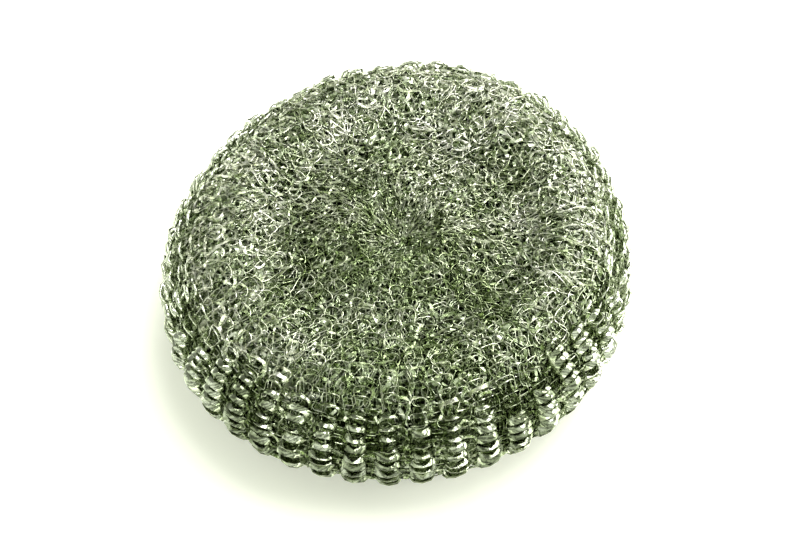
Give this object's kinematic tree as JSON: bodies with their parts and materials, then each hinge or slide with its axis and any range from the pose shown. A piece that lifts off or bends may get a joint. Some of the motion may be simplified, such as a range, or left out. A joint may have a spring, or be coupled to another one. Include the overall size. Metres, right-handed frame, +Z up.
{
  "type": "metal scourer",
  "caption": "Round flat-topped scouring pad of knitted flat wire, rolled on itself and gathered at a dimpled middle, for scrubbing pans by hand.",
  "frame": {"origin": "middle of the resting ring on the underside", "axes": "+Z up, out of the dimpled face; +X along the longer way across the slightly oval rim"},
  "size_m": [0.088, 0.082, 0.024],
  "materials": {
    "galvanised_flat_wire": "bright rolled flat wire with an olive grey cast"
  },
  "bodies": {
    "root": {"knitted_pad": "galvanised_flat_wire"}
  },
  "joints": []
}
